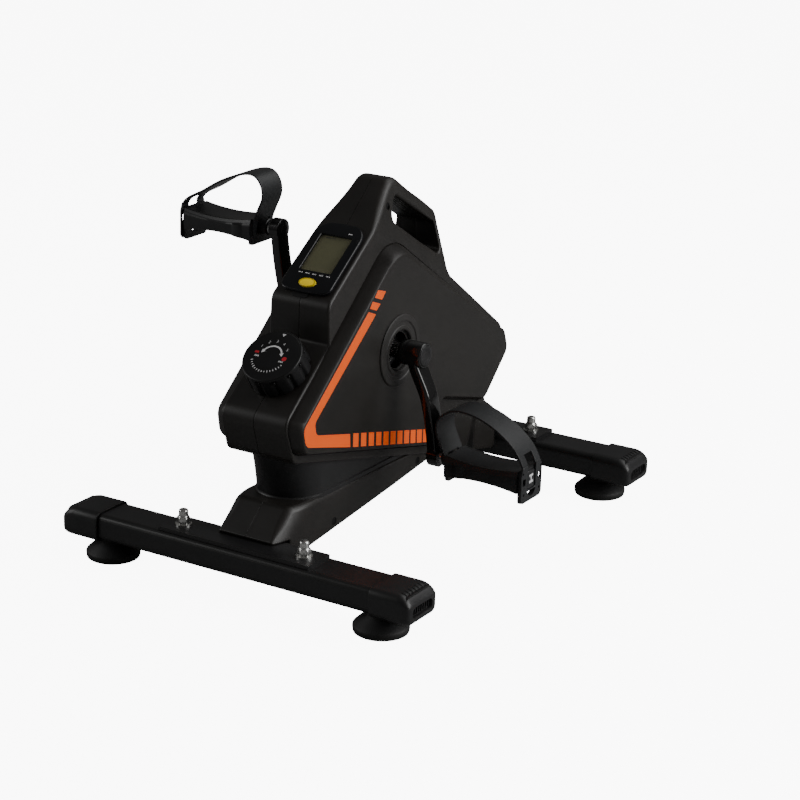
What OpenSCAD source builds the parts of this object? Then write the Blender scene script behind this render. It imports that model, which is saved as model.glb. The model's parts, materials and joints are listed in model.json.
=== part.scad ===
/* [Overall size] */
// Overall length, front to back, over the rubber feet
overall_l = 539.75; // [520:1:560]
// Overall width, over the stabiliser end caps
overall_w = 438.15; // [430:1:450]
// Overall height, floor to the top of the carrying handle
overall_h = 400; // [398:1:404]

/* [Stabilisers] */
// Depth of a stabiliser tube, front to back
tube_d = 50; // [48:1:52]
// Height of a stabiliser tube
tube_h = 29; // [27:1:30]
// Height of a rubber foot, which carries the tube
foot_h = 25; // [23:1:27]
// Diameter of a rubber foot at the floor
foot_dia = 59; // [54:0.1:59]
// Distance of the feet from the middle of the machine
foot_x = 171; // [165:1:175]
// Distance of the fixing bolts from the middle of the machine
bolt_x = 76.6; // [70:0.1:80]

/* [Housing] */
// Half width of the housing's drafted sides, at the height of the handle
handle_half = 33; // [32:1:34]
// Half width of the carrying handle itself
grip_half = 22; // [21:0.5:23]
// Half width over the raised side panels
panel_half = 54; // [53:1:56]
// Slope of the console face, from the horizontal
console_tilt = 35; // [34:1:36]
// Wall thickness of the plastic shells
wall = 2.6; // [2.2:0.1:3]

/* [Drive] */
// Length of a crank, axle to pedal
crank_len = 112; // [100:1:114]
// Angle of the right crank ahead of straight down
crank_angle = 3; // [-10:1:20]
// Running radius of the drive pulley
drive_r = 74; // [68:1:76]
// Running radius of the small pulley on the flywheel
driven_r = 14; // [13:1:16]
// Radius of the flywheel
flywheel_r = 62; // [56:1:62]
// Width of the belt
belt_w = 6; // [5:1:7]

/* [Pedals] */
// Length of a pedal body along its axle
pedal_l = 89; // [85:1:89]
// Depth of a pedal body, heel to toe
pedal_d = 46; // [44:1:50]
// Width of a foot strap
strap_w = 38; // [32:1:40]

/* [Hidden] */
$fn = 64;

cap_d = tube_d + 7;
cap_h = 33;
cap_len = 47;
tube_y = (overall_l - foot_dia) / 2;
tube_z = foot_h;
tube_top = tube_z + tube_h;
plate_t = 4;
plate_top = tube_top + plate_t;
gap = 0.3;
seam = 0.15;
wide = 300;

crank_y = -27;
crank_z = 220.5;
fly_y = 112;
fly_z = 158;
belt_x = -32;
belt_t = 2;
crank_end_x = 107;
hub_out_x = 87;
pedal_x = 124;
side_draft = 2.08;

// Side outline of the housing: [y, z, corner radius]
housing_pts = [[3, overall_h + 4.9, 20], [94, 346, 14], [102.5, 275, 26], [222, 188, 14],
    [232, 156, 12], [180, 108, 8], [211, 88, 14], [209, 38.5, 8], [-211, 141.4, 14],
    [-226, 187.3, 18], [-141, 251.3, 5], [-141, 294.2, 14], [-55, 354.5, 60]];
// Foot and face of the raised side panel
panel_foot = [[-22, 345, 46], [212, 186, 12], [222, 160, 12], [172, 108, 12], [70, 138, 10],
    [66, 84, 10], [-212, 152, 16], [-222, 186, 12]];
panel_face = [[-33, 333, 36], [207, 186, 14], [216, 162, 12], [166, 115, 14], [62, 145, 14],
    [58, 90, 12], [-207, 154, 16], [-211, 183, 14]];
// Finger opening of the handle
grip_pts = [[8, 380, 5], [88, 335, 7], [92, 296, 6], [-8, 357.5, 9]];
// Base cover round the front leg
boot_pts = [[-240, 58.2, 2], [-204, 90, 5], [-57, 86, 8], [30, 84, 6], [84, 70, 3], [64, 66, 5],
    [-10, 57, 30], [-178, 39, 20], [-213, 37, 4], [-213, 58.2, 1]];
// Steel frame: front leg beam, rear beam, front post
front_beam = [[-234, 58], [-209, 80], [90, 80], [90, 77], [60, 70], [-10, 61], [-176, 43],
    [-210, 43], [-210, 58]];
rear_beam = [[-40, 106], [200, 50], [214, 58], [240, 58], [240, 66], [200, 70], [-40, 126]];
screw_pts = [[-130, 53], [40, 71.5]];
grip_screw = [-14, 373];
grip_screw_x = grip_half + 3.5;
shoulder = [handle_half + 3.5, -60, 352];
shoulder_turn = 24.2;
shoulder_lean = 14.3;
front_post = [[-164, 80], [-112, 80], [-4, 205], [-27, 238], [-50, 222]];
fork_side = [[84, 100], [140, 86], [192, 172], [190, 194], [170, 194], [126, 168], [112, 172],
    [98, 168]];
fork_base = [[84, 97.6], [140, 84.4], [140, 87.6], [84, 100.8]];

console_y = -93.9;
console_z = 327.5;
knob_tilt = 37;
knob_y = -175.4;
knob_z = 225.4;
knob_h = 26;
knob_r = 34.5;
pivot_y = fly_y + 72 * cos(20);
pivot_z = fly_z + 72 * sin(20);
idler_y = 40;
idler_r = 11;

function flat(p) = [p[0], p[1]];
function unit(v) = v / norm(v);
function turn(a) = a > 180 ? a - 360 : a < -180 ? a + 360 : a;
function corner(a, b, c, r, n) =
    let (u = unit(a - b), v = unit(c - b), half = acos(u * v) / 2,
        m = b + unit(u + v) * r / sin(half), s = b + u * r / tan(half) - m,
        e = b + v * r / tan(half) - m, a0 = atan2(s[1], s[0]),
        sweep = turn(atan2(e[1], e[0]) - a0))
    [for (i = [0:n]) m + r * [cos(a0 + sweep * i / n), sin(a0 + sweep * i / n)]];
function rounded(pts, n = 6) =
    let (k = len(pts))
    [for (i = [0:k - 1]) each corner(flat(pts[(i + k - 1) % k]), flat(pts[i]),
        flat(pts[(i + 1) % k]), pts[i][2], n)];
function area2(pts) =
    let (k = len(pts))
    [for (i = [0:k - 1]) cross(flat(pts[i]), flat(pts[(i + 1) % k]))] * [for (i = [1:k]) 1];
function inset(pts, d) =
    let (k = len(pts), side = area2(pts) > 0 ? 1 : -1)
    [for (i = [0:k - 1])
        let (b = flat(pts[i]), u = unit(b - flat(pts[(i + k - 1) % k])),
            v = unit(flat(pts[(i + 1) % k]) - b), nu = side * [-u[1], u[0]],
            nv = side * [-v[1], v[0]], q = b + (nu + nv) * d / (1 + nu * nv),
            bulge = side * cross(u, v) > 0 ? -1 : 1)
        [q[0], q[1], max(pts[i][2] + bulge * d, 0.5)]];
function mix(a, b, t) = [for (i = [0:len(a) - 1]) a[i] * (1 - t) + b[i] * t];
function smooth(p, n = 6) =
    let (k = len(p))
    [for (i = [0:k - 2]) for (j = [0:n - (i < k - 2 ? 1 : 0)])
        let (t = j / n, a = p[max(i - 1, 0)], b = p[i], c = p[i + 1], d = p[min(i + 2, k - 1)])
        b + (c - a) / 2 * t + (a - 2.5 * b + 2 * c - d / 2) * t * t
            + (-a / 2 + 1.5 * b - 1.5 * c + d / 2) * t * t * t];
function side_step(p, i, d) =
    let (a = p[max(i - 1, 0)], c = p[min(i + 1, len(p) - 1)], u = unit(c - a))
    p[i] + d * [-u[1], u[0]];
function ribbon(p, t) = concat([for (i = [0:len(p) - 1]) side_step(p, i, t / 2)],
    [for (i = [len(p) - 1:-1:0]) side_step(p, i, -t / 2)]);
function loop_arc(y, z, r, a0, a1, n) =
    [for (i = [0:n]) [y + r * cos(a0 + (a1 - a0) * i / n), z + r * sin(a0 + (a1 - a0) * i / n)]];
function belt_loop(grow) =
    let (dy = fly_y - crank_y, dz = fly_z - crank_z, far = norm([dy, dz]),
        lean = atan2(dz, dy), open = acos((drive_r - driven_r) / far))
    concat(loop_arc(crank_y, crank_z, drive_r + grow, lean + open, lean + 360 - open, 60),
        loop_arc(fly_y, fly_z, driven_r + grow, lean - open, lean + open, 20));

run_lean = atan2(fly_z - crank_z, fly_y - crank_y)
    - acos((drive_r - driven_r) / norm([fly_y - crank_y, fly_z - crank_z]));
run_out = [cos(run_lean), sin(run_lean)];
run_reach = [crank_y, crank_z] * run_out + drive_r + belt_t;
idler_at = [idler_y, (run_reach - idler_y * run_out[0]) / run_out[1]] + run_out * (idler_r + gap);

module across(x0, x1) {
    translate([x0, 0, 0]) rotate([90, 0, 90]) linear_extrude(x1 - x0) children();
}
module rod(x0, x1, y, z, d) {
    translate([x0, y, z]) rotate([0, 90, 0]) cylinder(h = x1 - x0, d = d);
}
module ring(x0, x1, y, z, outer, inner) {
    difference() {
        rod(x0, x1, y, z, outer);
        rod(x0 - 1, x1 + 1, y, z, inner);
    }
}
module other_side() {
    mirror([1, 0, 0]) children();
}
module at_each(xs, ys) {
    for (x = xs, y = ys) translate([x, y, 0]) children();
}
module on_console() {
    translate([0, console_y, console_z]) rotate([console_tilt, 0, 0]) children();
}
module on_knob() {
    translate([0, knob_y, knob_z]) rotate([knob_tilt, 0, 0]) children();
}
module crank_frame() {
    translate([0, crank_y, crank_z]) rotate([crank_angle, 0, 0]) children();
}
module at_pedal() {
    translate([0, crank_y + crank_len * sin(crank_angle), crank_z - crank_len * cos(crank_angle)])
        children();
}
module opposite_pedal() {
    translate([0, crank_y - crank_len * sin(crank_angle), crank_z + crank_len * cos(crank_angle)])
        children();
}
module wire(pts, x, r, sides = 8) {
    n = len(pts);
    rings = [for (i = [0:n - 1])
        let (u = unit(pts[min(i + 1, n - 1)] - pts[max(i - 1, 0)]))
        for (s = [0:sides - 1])
            let (a = 360 * s / sides)
            [x + r * cos(a), pts[i][0] - u[1] * r * sin(a), pts[i][1] + u[0] * r * sin(a)]];
    walls = [for (i = [0:n - 2], s = [0:sides - 1])
        let (q = (s + 1) % sides)
        [i * sides + s, (i + 1) * sides + s, (i + 1) * sides + q, i * sides + q]];
    polyhedron(points = rings, faces = concat([[for (s = [0:sides - 1]) s]],
        walls, [[for (s = [sides - 1:-1:0]) (n - 1) * sides + s]]), convexity = 6);
}

// Stabilisers, end caps, feet and their fasteners
module bar_section(d, h, r) {
    polygon(rounded([[-d / 2, 0, r], [d / 2, 0, r], [d / 2, h, r], [-d / 2, h, r]]));
}
module stabilizer(y) {
    bar_end = overall_w / 2 - 5;
    color("#1b1b1c") difference() {
        translate([0, y, tube_z]) across(-bar_end, bar_end) bar_section(tube_d, tube_h, 7);
        translate([0, y, tube_z + 1.6]) across(-wide, wide)
            bar_section(tube_d - 3.2, tube_h - 3.2, 5.4);
        at_each([-bolt_x, bolt_x], [y]) cylinder(h = 100, d = 8.6);
        at_each([-foot_x, foot_x], [y]) cylinder(h = tube_z + 5, d = 8.6);
    }
}
module end_cap(y) {
    rise = (cap_h - tube_h) / 2;
    color("#161617") difference() {
        translate([overall_w / 2 - cap_len, y, tube_z - rise]) across(0, cap_len)
            bar_section(cap_d, cap_h, 9);
        translate([overall_w / 2 - cap_len - 1, y, tube_z - 0.05]) across(0, cap_len - 3.9)
            bar_section(tube_d + 0.1, tube_h + 0.1, 7);
        translate([foot_x, y, 0]) cylinder(h = tube_z + 1, d = 33);
    }
}
module end_caps(y) {
    end_cap(y);
    other_side() end_cap(y);
}
module front_stabilizer() { stabilizer(-tube_y); }
module rear_stabilizer() { stabilizer(tube_y); }
module front_end_caps() { end_caps(-tube_y); }
module rear_end_caps() { end_caps(tube_y); }
module foot(x, y) {
    color("#141414") translate([x, y, 0]) rotate_extrude()
        polygon([[4.1, 0], [foot_dia / 2 - 1.5, 0], [foot_dia / 2, 2], [foot_dia / 2, 7],
            [16, 20], [15.5, foot_h - 0.05], [4.1, foot_h - 0.05]]);
}
module foot_studs() {
    color("silver") at_each([-foot_x, foot_x], [-tube_y, tube_y]) {
        translate([0, 0, 6]) cylinder(h = foot_h + 6, d = 8);
        translate([0, 0, tube_z + 1.7]) difference() {
            cylinder(h = 5, d = 15, $fn = 6);
            translate([0, 0, -1]) cylinder(h = 7, d = 8.1);
        }
    }
}
module plate(y) {
    color("#1b1b1c") difference() {
        translate([-95, y - 20, tube_top]) cube([190, 40, plate_t]);
        at_each([-bolt_x, bolt_x], [y]) cylinder(h = 100, d = 8.6);
    }
}
module front_plate() { plate(-tube_y); }
module rear_plate() { plate(tube_y); }
module plate_bolts() {
    color("silver") at_each([-bolt_x, bolt_x], [-tube_y, tube_y]) {
        translate([0, 0, tube_z - 3]) cylinder(h = plate_top + 10 - tube_z + 3, d = 8);
        translate([0, 0, tube_z - 3]) cylinder(h = 2.9, d = 18);
    }
}
module plate_washers() {
    color("silver") at_each([-bolt_x, bolt_x], [-tube_y, tube_y]) difference() {
        translate([0, 0, plate_top]) cylinder(h = 1.6, d = 18);
        cylinder(h = 100, d = 8.4);
    }
}
module dome_nuts() {
    color("silver") at_each([-bolt_x, bolt_x], [-tube_y, tube_y]) difference() {
        translate([0, 0, plate_top + 1.6]) union() {
            cylinder(h = 7.5, d = 15, $fn = 6);
            cylinder(h = 14, d = 10.4);
            translate([0, 0, 14]) cylinder(h = 2, d1 = 10.4, d2 = 6.6);
        }
        cylinder(h = plate_top + 10.1, d = 8.05);
    }
}

// Welded steel frame
module main_frame() {
    color("#222224") difference() {
        union() {
            across(-19, 19) polygon(front_beam);
            across(-19, 19) polygon(rear_beam);
            across(-15, 15) polygon(front_post);
            across(-39.7, 23) polygon(fork_base);
            across(20, 23) polygon(fork_side);
            across(-39.7, -36.9) polygon(fork_side);
            rod(-24, 40, crank_y, crank_z, 42);
        }
        rod(-wide, wide, crank_y, crank_z, 34);
        rod(-wide, wide, fly_y, fly_z, 10);
        rod(-wide, wide, pivot_y, pivot_z, 6);
    }
}

// Plastic shells, left and right halves that meet on the middle plane
module inside_draft(grow) {
    intersection() {
        children();
        translate([handle_half + grow, -wide, overall_h]) rotate([0, -side_draft, 0])
            translate([-wide, 0, -2 * wide]) cube([wide, 2 * wide, 3 * wide]);
        union() {
            translate([-wide, -wide, 0]) cube([wide + grip_half + grow, 2 * wide, 2 * wide]);
            translate(shoulder + [grow, 0, 0]) rotate([-shoulder_turn, 0, 0])
                rotate([0, -shoulder_lean, 0]) translate([-2 * wide, -2 * wide, -2 * wide])
                    cube([2 * wide, 4 * wide, 4 * wide]);
        }
    }
}
module panel_steps(shrink) {
    for (i = [0:2])
        across(-1, panel_half - 10 + 5 * i - shrink)
            polygon(rounded(inset(mix(panel_foot, panel_face, i / 2), shrink)));
}
module housing_solid(shrink) {
    inside_draft(-shrink) across(-1, panel_half) polygon(rounded(inset(housing_pts, shrink)));
    panel_steps(shrink);
}
module above_underside(lift) {
    a = flat(housing_pts[8]);
    b = flat(housing_pts[7]);
    translate([-wide / 2, a[0], a[1] + lift]) rotate([atan2(b[1] - a[1], b[0] - a[0]), 0, 0])
        translate([0, -wide, 0]) cube([wide, 3 * wide, wide]);
}
module neck_solid(grow, top) {
    difference() {
        translate([0, 0, 86]) linear_extrude(70) union() {
            translate([0, -150]) circle(r = 38 + grow);
            translate([-38 - grow, -150]) square([76 + 2 * grow, 172]);
        }
        above_underside(top);
    }
}
module shell_cuts() {
    across(-5, 90) polygon(rounded(grip_pts));
    across(-5, 19.4) polygon([[-100, 60], [-100, 150], [-60, 130], [100, 88], [100, 60]]);
    translate([-5, 190, 30]) cube([24.4, 60, 50]);
    rod(0, 90, crank_y, crank_z, 46);
    neck_solid(gap, 60);
    on_console() translate([-27, -44, -20]) cube([54, 88, 40]);
    on_knob() translate([0, 0, -20]) cylinder(h = 60, d = 8.6);
    rod(grip_screw_x - 5, 90, grip_screw[0], grip_screw[1], 9.4);
}
module half_shell() {
    difference() {
        housing_solid(0);
        difference() {
            housing_solid(wall);
            across(-5, 90) polygon(rounded(inset(grip_pts, -wall)));
        }
        translate([-wide + seam, -wide, 0]) cube([wide, 2 * wide, 2 * wide]);
        shell_cuts();
    }
}
module housing_right() { color("#1d1c1b") half_shell(); }
module housing_left() { color("#1d1c1b") other_side() half_shell(); }
module neck_cover() {
    color("#18181a") difference() {
        neck_solid(0, 4);
        translate([0, 0, 80]) linear_extrude(90) union() {
            translate([0, -150]) circle(r = 35.5);
            translate([-35.5, -150]) square([71, 220]);
        }
    }
}
module boot_half() {
    difference() {
        across(seam, 41) polygon(rounded(boot_pts, 5));
        across(-1, 38.5) polygon(rounded(inset(boot_pts, 2.5), 5));
        across(-1, 19.4) polygon([[-237, 57], [-232, 63], [-209, 63], [-209, 42], [-214, 42],
            [-214, 57]]);
        across(-1, 19.4) polygon([[32, 68], [110, 68], [110, 90], [32, 90]]);
        across(-1, 15.4) polygon([[-168, 78], [-108, 78], [-100, 95], [-168, 95]]);
        neck_solid(gap, 30);
        above_underside(-gap);
        for (p = screw_pts) rod(38, 60, p[0], p[1], 9.4);
    }
}
module boot_right() { color("#19191a") boot_half(); }
module boot_left() { color("#19191a") other_side() boot_half(); }
module crank_trim() {
    color("#202021") difference() {
        union() {
            ring(panel_half + 0.05, panel_half + 2, crank_y, crank_z, 80, 40);
            ring(panel_half - 3, panel_half + 2, crank_y, crank_z, 45.8, 40);
        }
        rod(panel_half + 1.2, 90, crank_y, crank_z, 46);
    }
}
module crank_trim_right() { crank_trim(); }
module crank_trim_left() { other_side() crank_trim(); }

// Coloured stripe: a bent bar, two dashes above it and a row of dashes behind it
module stripe_shape() {
    dashes = 11;
    dash_w = 10.4;
    polygon(rounded([[-91, 278.6, 0.5], [-211, 181, 10], [-206, 161, 12], [-121.5, 137.2, 0.5],
        [-122.5, 152.3, 0.5], [-187, 169, 7], [-190, 183, 7], [-76.5, 272.7, 0.5]]));
    polygon([[-83.6, 288.2], [-88.6, 281.6], [-75.3, 276.5], [-68, 282.4]]);
    polygon([[-73.1, 298.4], [-79.4, 291.6], [-65.1, 286.1], [-57.6, 293.6]]);
    for (i = [0:dashes - 1]) {
        y = -116 + 15.725 * i - 0.125 * i * i;
        z = 135.8 - 0.2525 * (y + 116);
        polygon([[y, z], [y + dash_w, z - 2.6], [y + dash_w, z + 12.6], [y, z + 15.3]]);
    }
}
module stripe() {
    color("#e86228") across(panel_half + 0.05, panel_half + 0.55) stripe_shape();
}
module stripe_right() { stripe(); }
module stripe_left() { other_side() stripe(); }
module cover_screw(x, y, z) {
    rod(x - 14, x, y, z, 3.2);
    rod(x - 2, x, y, z, 8.6);
}
module cover_screws() {
    color("#0c0c0c") for (s = [0, 1]) mirror([s, 0, 0]) {
        cover_screw(grip_screw_x, grip_screw[0], grip_screw[1]);
        for (p = screw_pts) cover_screw(40.6, p[0], p[1]);
    }
}

// Console: case, lens, display, board, cell and button
module console_plan(x, y, grow) {
    polygon(rounded([[-x - grow, -y - grow, 12], [x + grow, -y - grow, 12],
        [x + grow, y + grow, 20], [-x - grow, y + grow, 20]]));
}
module console_case() {
    color("#101113") on_console() difference() {
        union() {
            linear_extrude(4) console_plan(31, 48, 0);
            translate([0, 0, -16]) linear_extrude(17) polygon(rounded([[-26, -43, 3], [26, -43, 3],
                [26, 43, 3], [-26, 43, 3]]));
        }
        translate([-22, -42, -14]) cube([44, 80, 15]);
        translate([-21, -22, -1]) cube([42, 54, 3.2]);
        translate([-20, -21, -1]) cube([40, 52, 10]);
        translate([0, -37, -8]) linear_extrude(20) button_plan(gap);
    }
}
module button_plan(grow) {
    polygon(rounded([[-10 - grow, -6 - grow, 5.9 + grow], [10 + grow, -6 - grow, 5.9 + grow],
        [10 + grow, 6 + grow, 5.9 + grow], [-10 - grow, 6 + grow, 5.9 + grow]], 8));
}
module console_lens() {
    color([0.2, 0.22, 0.2, 0.5]) on_console() translate([-19.9, -20.9, 2.3]) cube([39.8, 51.8, 1.6]);
}
module lcd_screen() {
    color("#7a7a66") on_console() translate([-19.9, -20.9, -0.8]) cube([39.8, 51.8, 2.6]);
}
module console_board() {
    color("darkgreen") on_console() translate([-21, -41, -6]) cube([42, 75, 1.6]);
}
module console_battery() {
    color("silver") on_console() translate([-20, 8, -10.2]) rotate([0, 90, 0])
        cylinder(h = 40, d = 7);
}
module mode_button() {
    color("#f5dc00") on_console() translate([0, -37, -3]) linear_extrude(8.2) button_plan(0);
}
module reed_sensor() {
    color("black") translate([-27.3, crank_y + 18, crank_z - 6]) cube([3.3, 20, 14]);
}
module sensor_wire() {
    color("black") wire(smooth([[0, 229.5], [2, 250], [-15, 278], [-45, 300], [-78, 312]]), -25.5, 1.2);
}

// Resistance control: knob, spindle with drum, cable, magnet bracket
module tension_knob() {
    color("#121213") on_knob() difference() {
        union() {
            translate([0, 0, 0.6]) cylinder(h = knob_h - 2.6, r = knob_r);
            translate([0, 0, 0.6]) cylinder(h = knob_h - 0.6, r = knob_r - 1.5);
        }
        for (a = [0:30:359]) rotate([0, 0, a]) translate([knob_r + 10, 0, -1]) cylinder(h = 19, r = 12);
        translate([0, 0, -1]) cylinder(h = 18, d = 8);
        translate([0, 0, -1]) difference() {
            cylinder(h = 12, r = knob_r - 5.5);
            cylinder(h = 12, r = 9);
        }
    }
}
module knob_spindle() {
    color("silver") on_knob() {
        translate([0, 0, -22]) cylinder(h = 38, d = 7.9);
        translate([0, 0, -20]) cylinder(h = 8, d = 22);
    }
}
module tension_cable() {
    color("black") wire(smooth([[-146, 206], [-128, 222], [-100, 246], [-60, 262], [-20, 264],
        [18, 250], [42, 230], [48, 217]]), 0, 1.8);
}
function sector(r0, r1, a0, a1, n = 16) = concat(loop_arc(fly_y, fly_z, r0, a0, a1, n),
    loop_arc(fly_y, fly_z, r1, a1, a0, n));
module magnet_bracket() {
    color("#3a3a3c") difference() {
        union() {
            across(-13, 13) polygon(sector(71, 74, 22, 142));
            across(-13, -10.5) polygon(sector(64, 74, 22, 142));
            across(10.5, 13) polygon(sector(64, 74, 22, 142));
            rod(-13, 13, pivot_y, pivot_z, 15);
        }
        rod(-wide, wide, pivot_y, pivot_z, 6.1);
    }
}
module brake_magnets() {
    color("silver") for (a = [52:20:132]) across(-9, 9) polygon(sector(67, 70.8, a, a + 12, 4));
}
module bracket_pin() {
    color("silver") rod(-42, 24, pivot_y, pivot_z, 5.98);
}
module return_spring() {
    coils = 4;
    pitch = 1.2;
    leg = 16;
    color("silver") translate([14.7, pivot_y, pivot_z]) {
        rotate([0, 90, 0]) rotate_extrude() polygon(concat([[5, 0]],
            [for (i = [0:coils - 1]) each [[6, i * pitch], [6.8, (i + 0.5) * pitch]]],
            [[6, coils * pitch], [5, coils * pitch]]));
        translate([0.7, 0, 5.9]) rotate([90, 0, 0]) cylinder(h = leg, r = 0.6);
        translate([coils * pitch - 0.7, 0, -5.9]) rotate([90, 0, 0]) cylinder(h = leg, r = 0.6);
    }
}

// Flywheel, belt and pulleys
module flywheel() {
    color("#8b8d90") difference() {
        rod(-7, 7, fly_y, fly_z, 2 * flywheel_r);
        for (x = [-8, 3]) ring(x, x + 5, fly_y, fly_z, 2 * flywheel_r - 26, 42);
        rod(-8, 8, fly_y, fly_z, 26);
    }
}
module flywheel_bearings() {
    color("silver") for (x = [-6.9, 0.1]) ring(x, x + 6.8, fly_y, fly_z, 25.98, 10.1);
}
module flywheel_axle() {
    color("silver") {
        rod(-44, 29, fly_y, fly_z, 9.98);
        rod(23.1, 28, fly_y, fly_z, 16);
    }
}
module grooved_wheel(y, z, r, bore) {
    difference() {
        union() {
            rod(belt_x - 4, belt_x + 4, y, z, 2 * r - 0.6);
            rod(belt_x - 4, belt_x - 3.2, y, z, 2 * r + 2.4);
            rod(belt_x + 3.2, belt_x + 4, y, z, 2 * r + 2.4);
        }
        rod(-wide, wide, y, z, bore);
    }
}
module flywheel_pulley() {
    color("#2a2a2c") {
        grooved_wheel(fly_y, fly_z, driven_r, 10.6);
        ring(belt_x + 4, -7.05, fly_y, fly_z, 22, 10.6);
    }
}
module drive_belt() {
    color("#0d0d0d") across(belt_x - belt_w / 2, belt_x + belt_w / 2) difference() {
        polygon(belt_loop(belt_t));
        polygon(belt_loop(0));
    }
}
module idler_wheel() {
    color("#d0cfca") ring(belt_x - 3.6, belt_x + 3.6, idler_at[0], idler_at[1], 2 * idler_r, 6.1);
}
module idler_arm() {
    color("silver") {
        across(-23.5, -19.1) polygon(rounded([[20, 96, 3], [60, 88, 3], [48, 138, 7], [32, 138, 7]]));
        rod(-37, -23.5, idler_at[0], idler_at[1], 6);
        rod(-38, -36, idler_at[0], idler_at[1], 9);
    }
}
module crank_bearings() {
    color("silver") {
        ring(-23.5, -13.5, crank_y, crank_z, 33.98, 17.1);
        ring(29.5, 39.5, crank_y, crank_z, 33.98, 17.1);
    }
}

// Crank set
module crank_axle() {
    color("silver") {
        rod(-58, 58, crank_y, crank_z, 17);
        rod(-84, 84, crank_y, crank_z, 14);
    }
}
module drive_pulley() {
    color("#2a2a2c") difference() {
        grooved_wheel(crank_y, crank_z, drive_r, 17.02);
        for (x = [belt_x - 5, belt_x + 2]) ring(x, x + 3, crank_y, crank_z, 2 * drive_r - 14, 40);
        crank_frame() for (a = [30:60:359]) rotate([a, 0, 0]) rod(-wide, 0, 0, 42, 26);
    }
}
module sensor_magnet() {
    color("silver") crank_frame() rod(belt_x + 2, belt_x + 3.6, 0, 36, 8);
}
arm_pts = [[70, 13, 3], [85, 13, 3], [85, -14, 8], [97, -42, 14], [crank_end_x, 12 - crank_len, 10],
    [crank_end_x, -crank_len - 4, 2], [crank_end_x - 12, -crank_len - 4, 2],
    [crank_end_x - 12, 8 - crank_len, 10], [84, -44, 14], [70, -20, 8]];
module crank() {
    crank_frame() difference() {
        union() {
            rod(59, hub_out_x, 0, 0, 28);
            translate([0, 10, 0]) rotate([90, 0, 0]) linear_extrude(20) polygon(rounded(arm_pts));
            rod(crank_end_x - 12, crank_end_x, 0, -crank_len, 24);
        }
        rod(50, hub_out_x - 2.9, 0, 0, 14.05);
        rod(hub_out_x - 3, hub_out_x + 1, 0, 0, 24);
        rod(80, 130, 0, -crank_len, 12.02);
    }
}
module crank_right() { color("#0b0b0b") crank(); }
module turned() {
    translate([0, 2 * crank_y, 2 * crank_z]) mirror([1, 0, 0]) mirror([0, 1, 0])
        mirror([0, 0, 1]) children();
}
module crank_left() { color("#0b0b0b") turned() crank(); }
module crank_cap() { rod(hub_out_x - 2.9, hub_out_x + 0.6, crank_y, crank_z, 23.9); }
module crank_caps() {
    color("#131313") {
        crank_cap();
        turned() crank_cap();
    }
}

// Pedals: axle in the crank, body on the axle, strap on the body
module pedal_axle() {
    rod(crank_end_x - 12, crank_end_x, 0, 0, 12);
    rod(crank_end_x, crank_end_x + 4, 0, 0, 15);
    rod(crank_end_x + 4, pedal_x + pedal_l - 8, 0, 0, 9);
}
module pedal_axles() {
    color("silver") {
        at_pedal() pedal_axle();
        opposite_pedal() other_side() pedal_axle();
    }
}
function pedal_side(z0, dip) = [for (i = [0:12])
    let (t = i / 12)
    [pedal_x + pedal_l * t, z0 - dip * 4 * t * (1 - t)]];
function reversed(p) = [for (i = [len(p) - 1:-1:0]) p[i]];
tab_low = -12;
tab_h = 21;
module finger_hole() {
    translate([pedal_x + pedal_l - 3, -8, -20]) cube([12, 16, 7]);
}
module pedal_body() {
    color("#1c1d1e") difference() {
        union() {
            translate([0, pedal_d / 2, 0]) rotate([90, 0, 0]) linear_extrude(pedal_d)
                polygon(concat(pedal_side(-14, -4), reversed(pedal_side(11, 5))));
            rod(crank_end_x + 5, pedal_x + 1, 0, 0, 19);
            translate([pedal_x, -19, -19]) cube([4, 38, 26]);
            translate([pedal_x + pedal_l - 0.1, -19, -26]) cube([3.5, 38, 37]);
            translate([pedal_x + pedal_l + 3, -7, tab_low + 0.5]) cube([2, 14, tab_h - 1]);
        }
        rod(crank_end_x, pedal_x + pedal_l - 6, 0, 0, 9.1);
        for (y = [-20, 8]) translate([pedal_x + 5, y, -30]) cube([pedal_l - 10, 12, 32]);
        finger_hole();
    }
}
module pedal_right() { at_pedal() pedal_body(); }
module pedal_left() { opposite_pedal() other_side() pedal_body(); }
strap_out = pedal_x + pedal_l + 4.6;
right_strap_line = [[strap_out, -25], [strap_out, 0], [strap_out - 1, 16], [205, 34],
    [182, 51], [155, 61], [130, 61], [113, 49], [110.5, 34], [117, 18], [122.4, 6], [122.4, -8]];
left_strap_line = [[strap_out, -25], [strap_out, 0], [strap_out - 0.5, 14], [209.5, 22.5],
    [191, 32.5], [166, 47.5], [139, 58.5], [122, 59.5], [112.5, 50], [110.5, 36], [117, 20], [122.4, 6],
    [122.4, -8]];
module strap(line, slot_top) {
    color("#1a1b1b") difference() {
        translate([0, strap_w / 2, 0]) rotate([90, 0, 0]) linear_extrude(strap_w)
            polygon(ribbon(smooth(line, 4), 2.4));
        translate([190, -8.5, tab_low]) cube([40, 17, slot_top - tab_low]);
        finger_hole();
        rod(100, 130, 0, 0, 20);
    }
}
module strap_right() { at_pedal() strap(right_strap_line, 26); }
module strap_left() { opposite_pedal() other_side() strap(left_strap_line, 23); }

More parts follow.
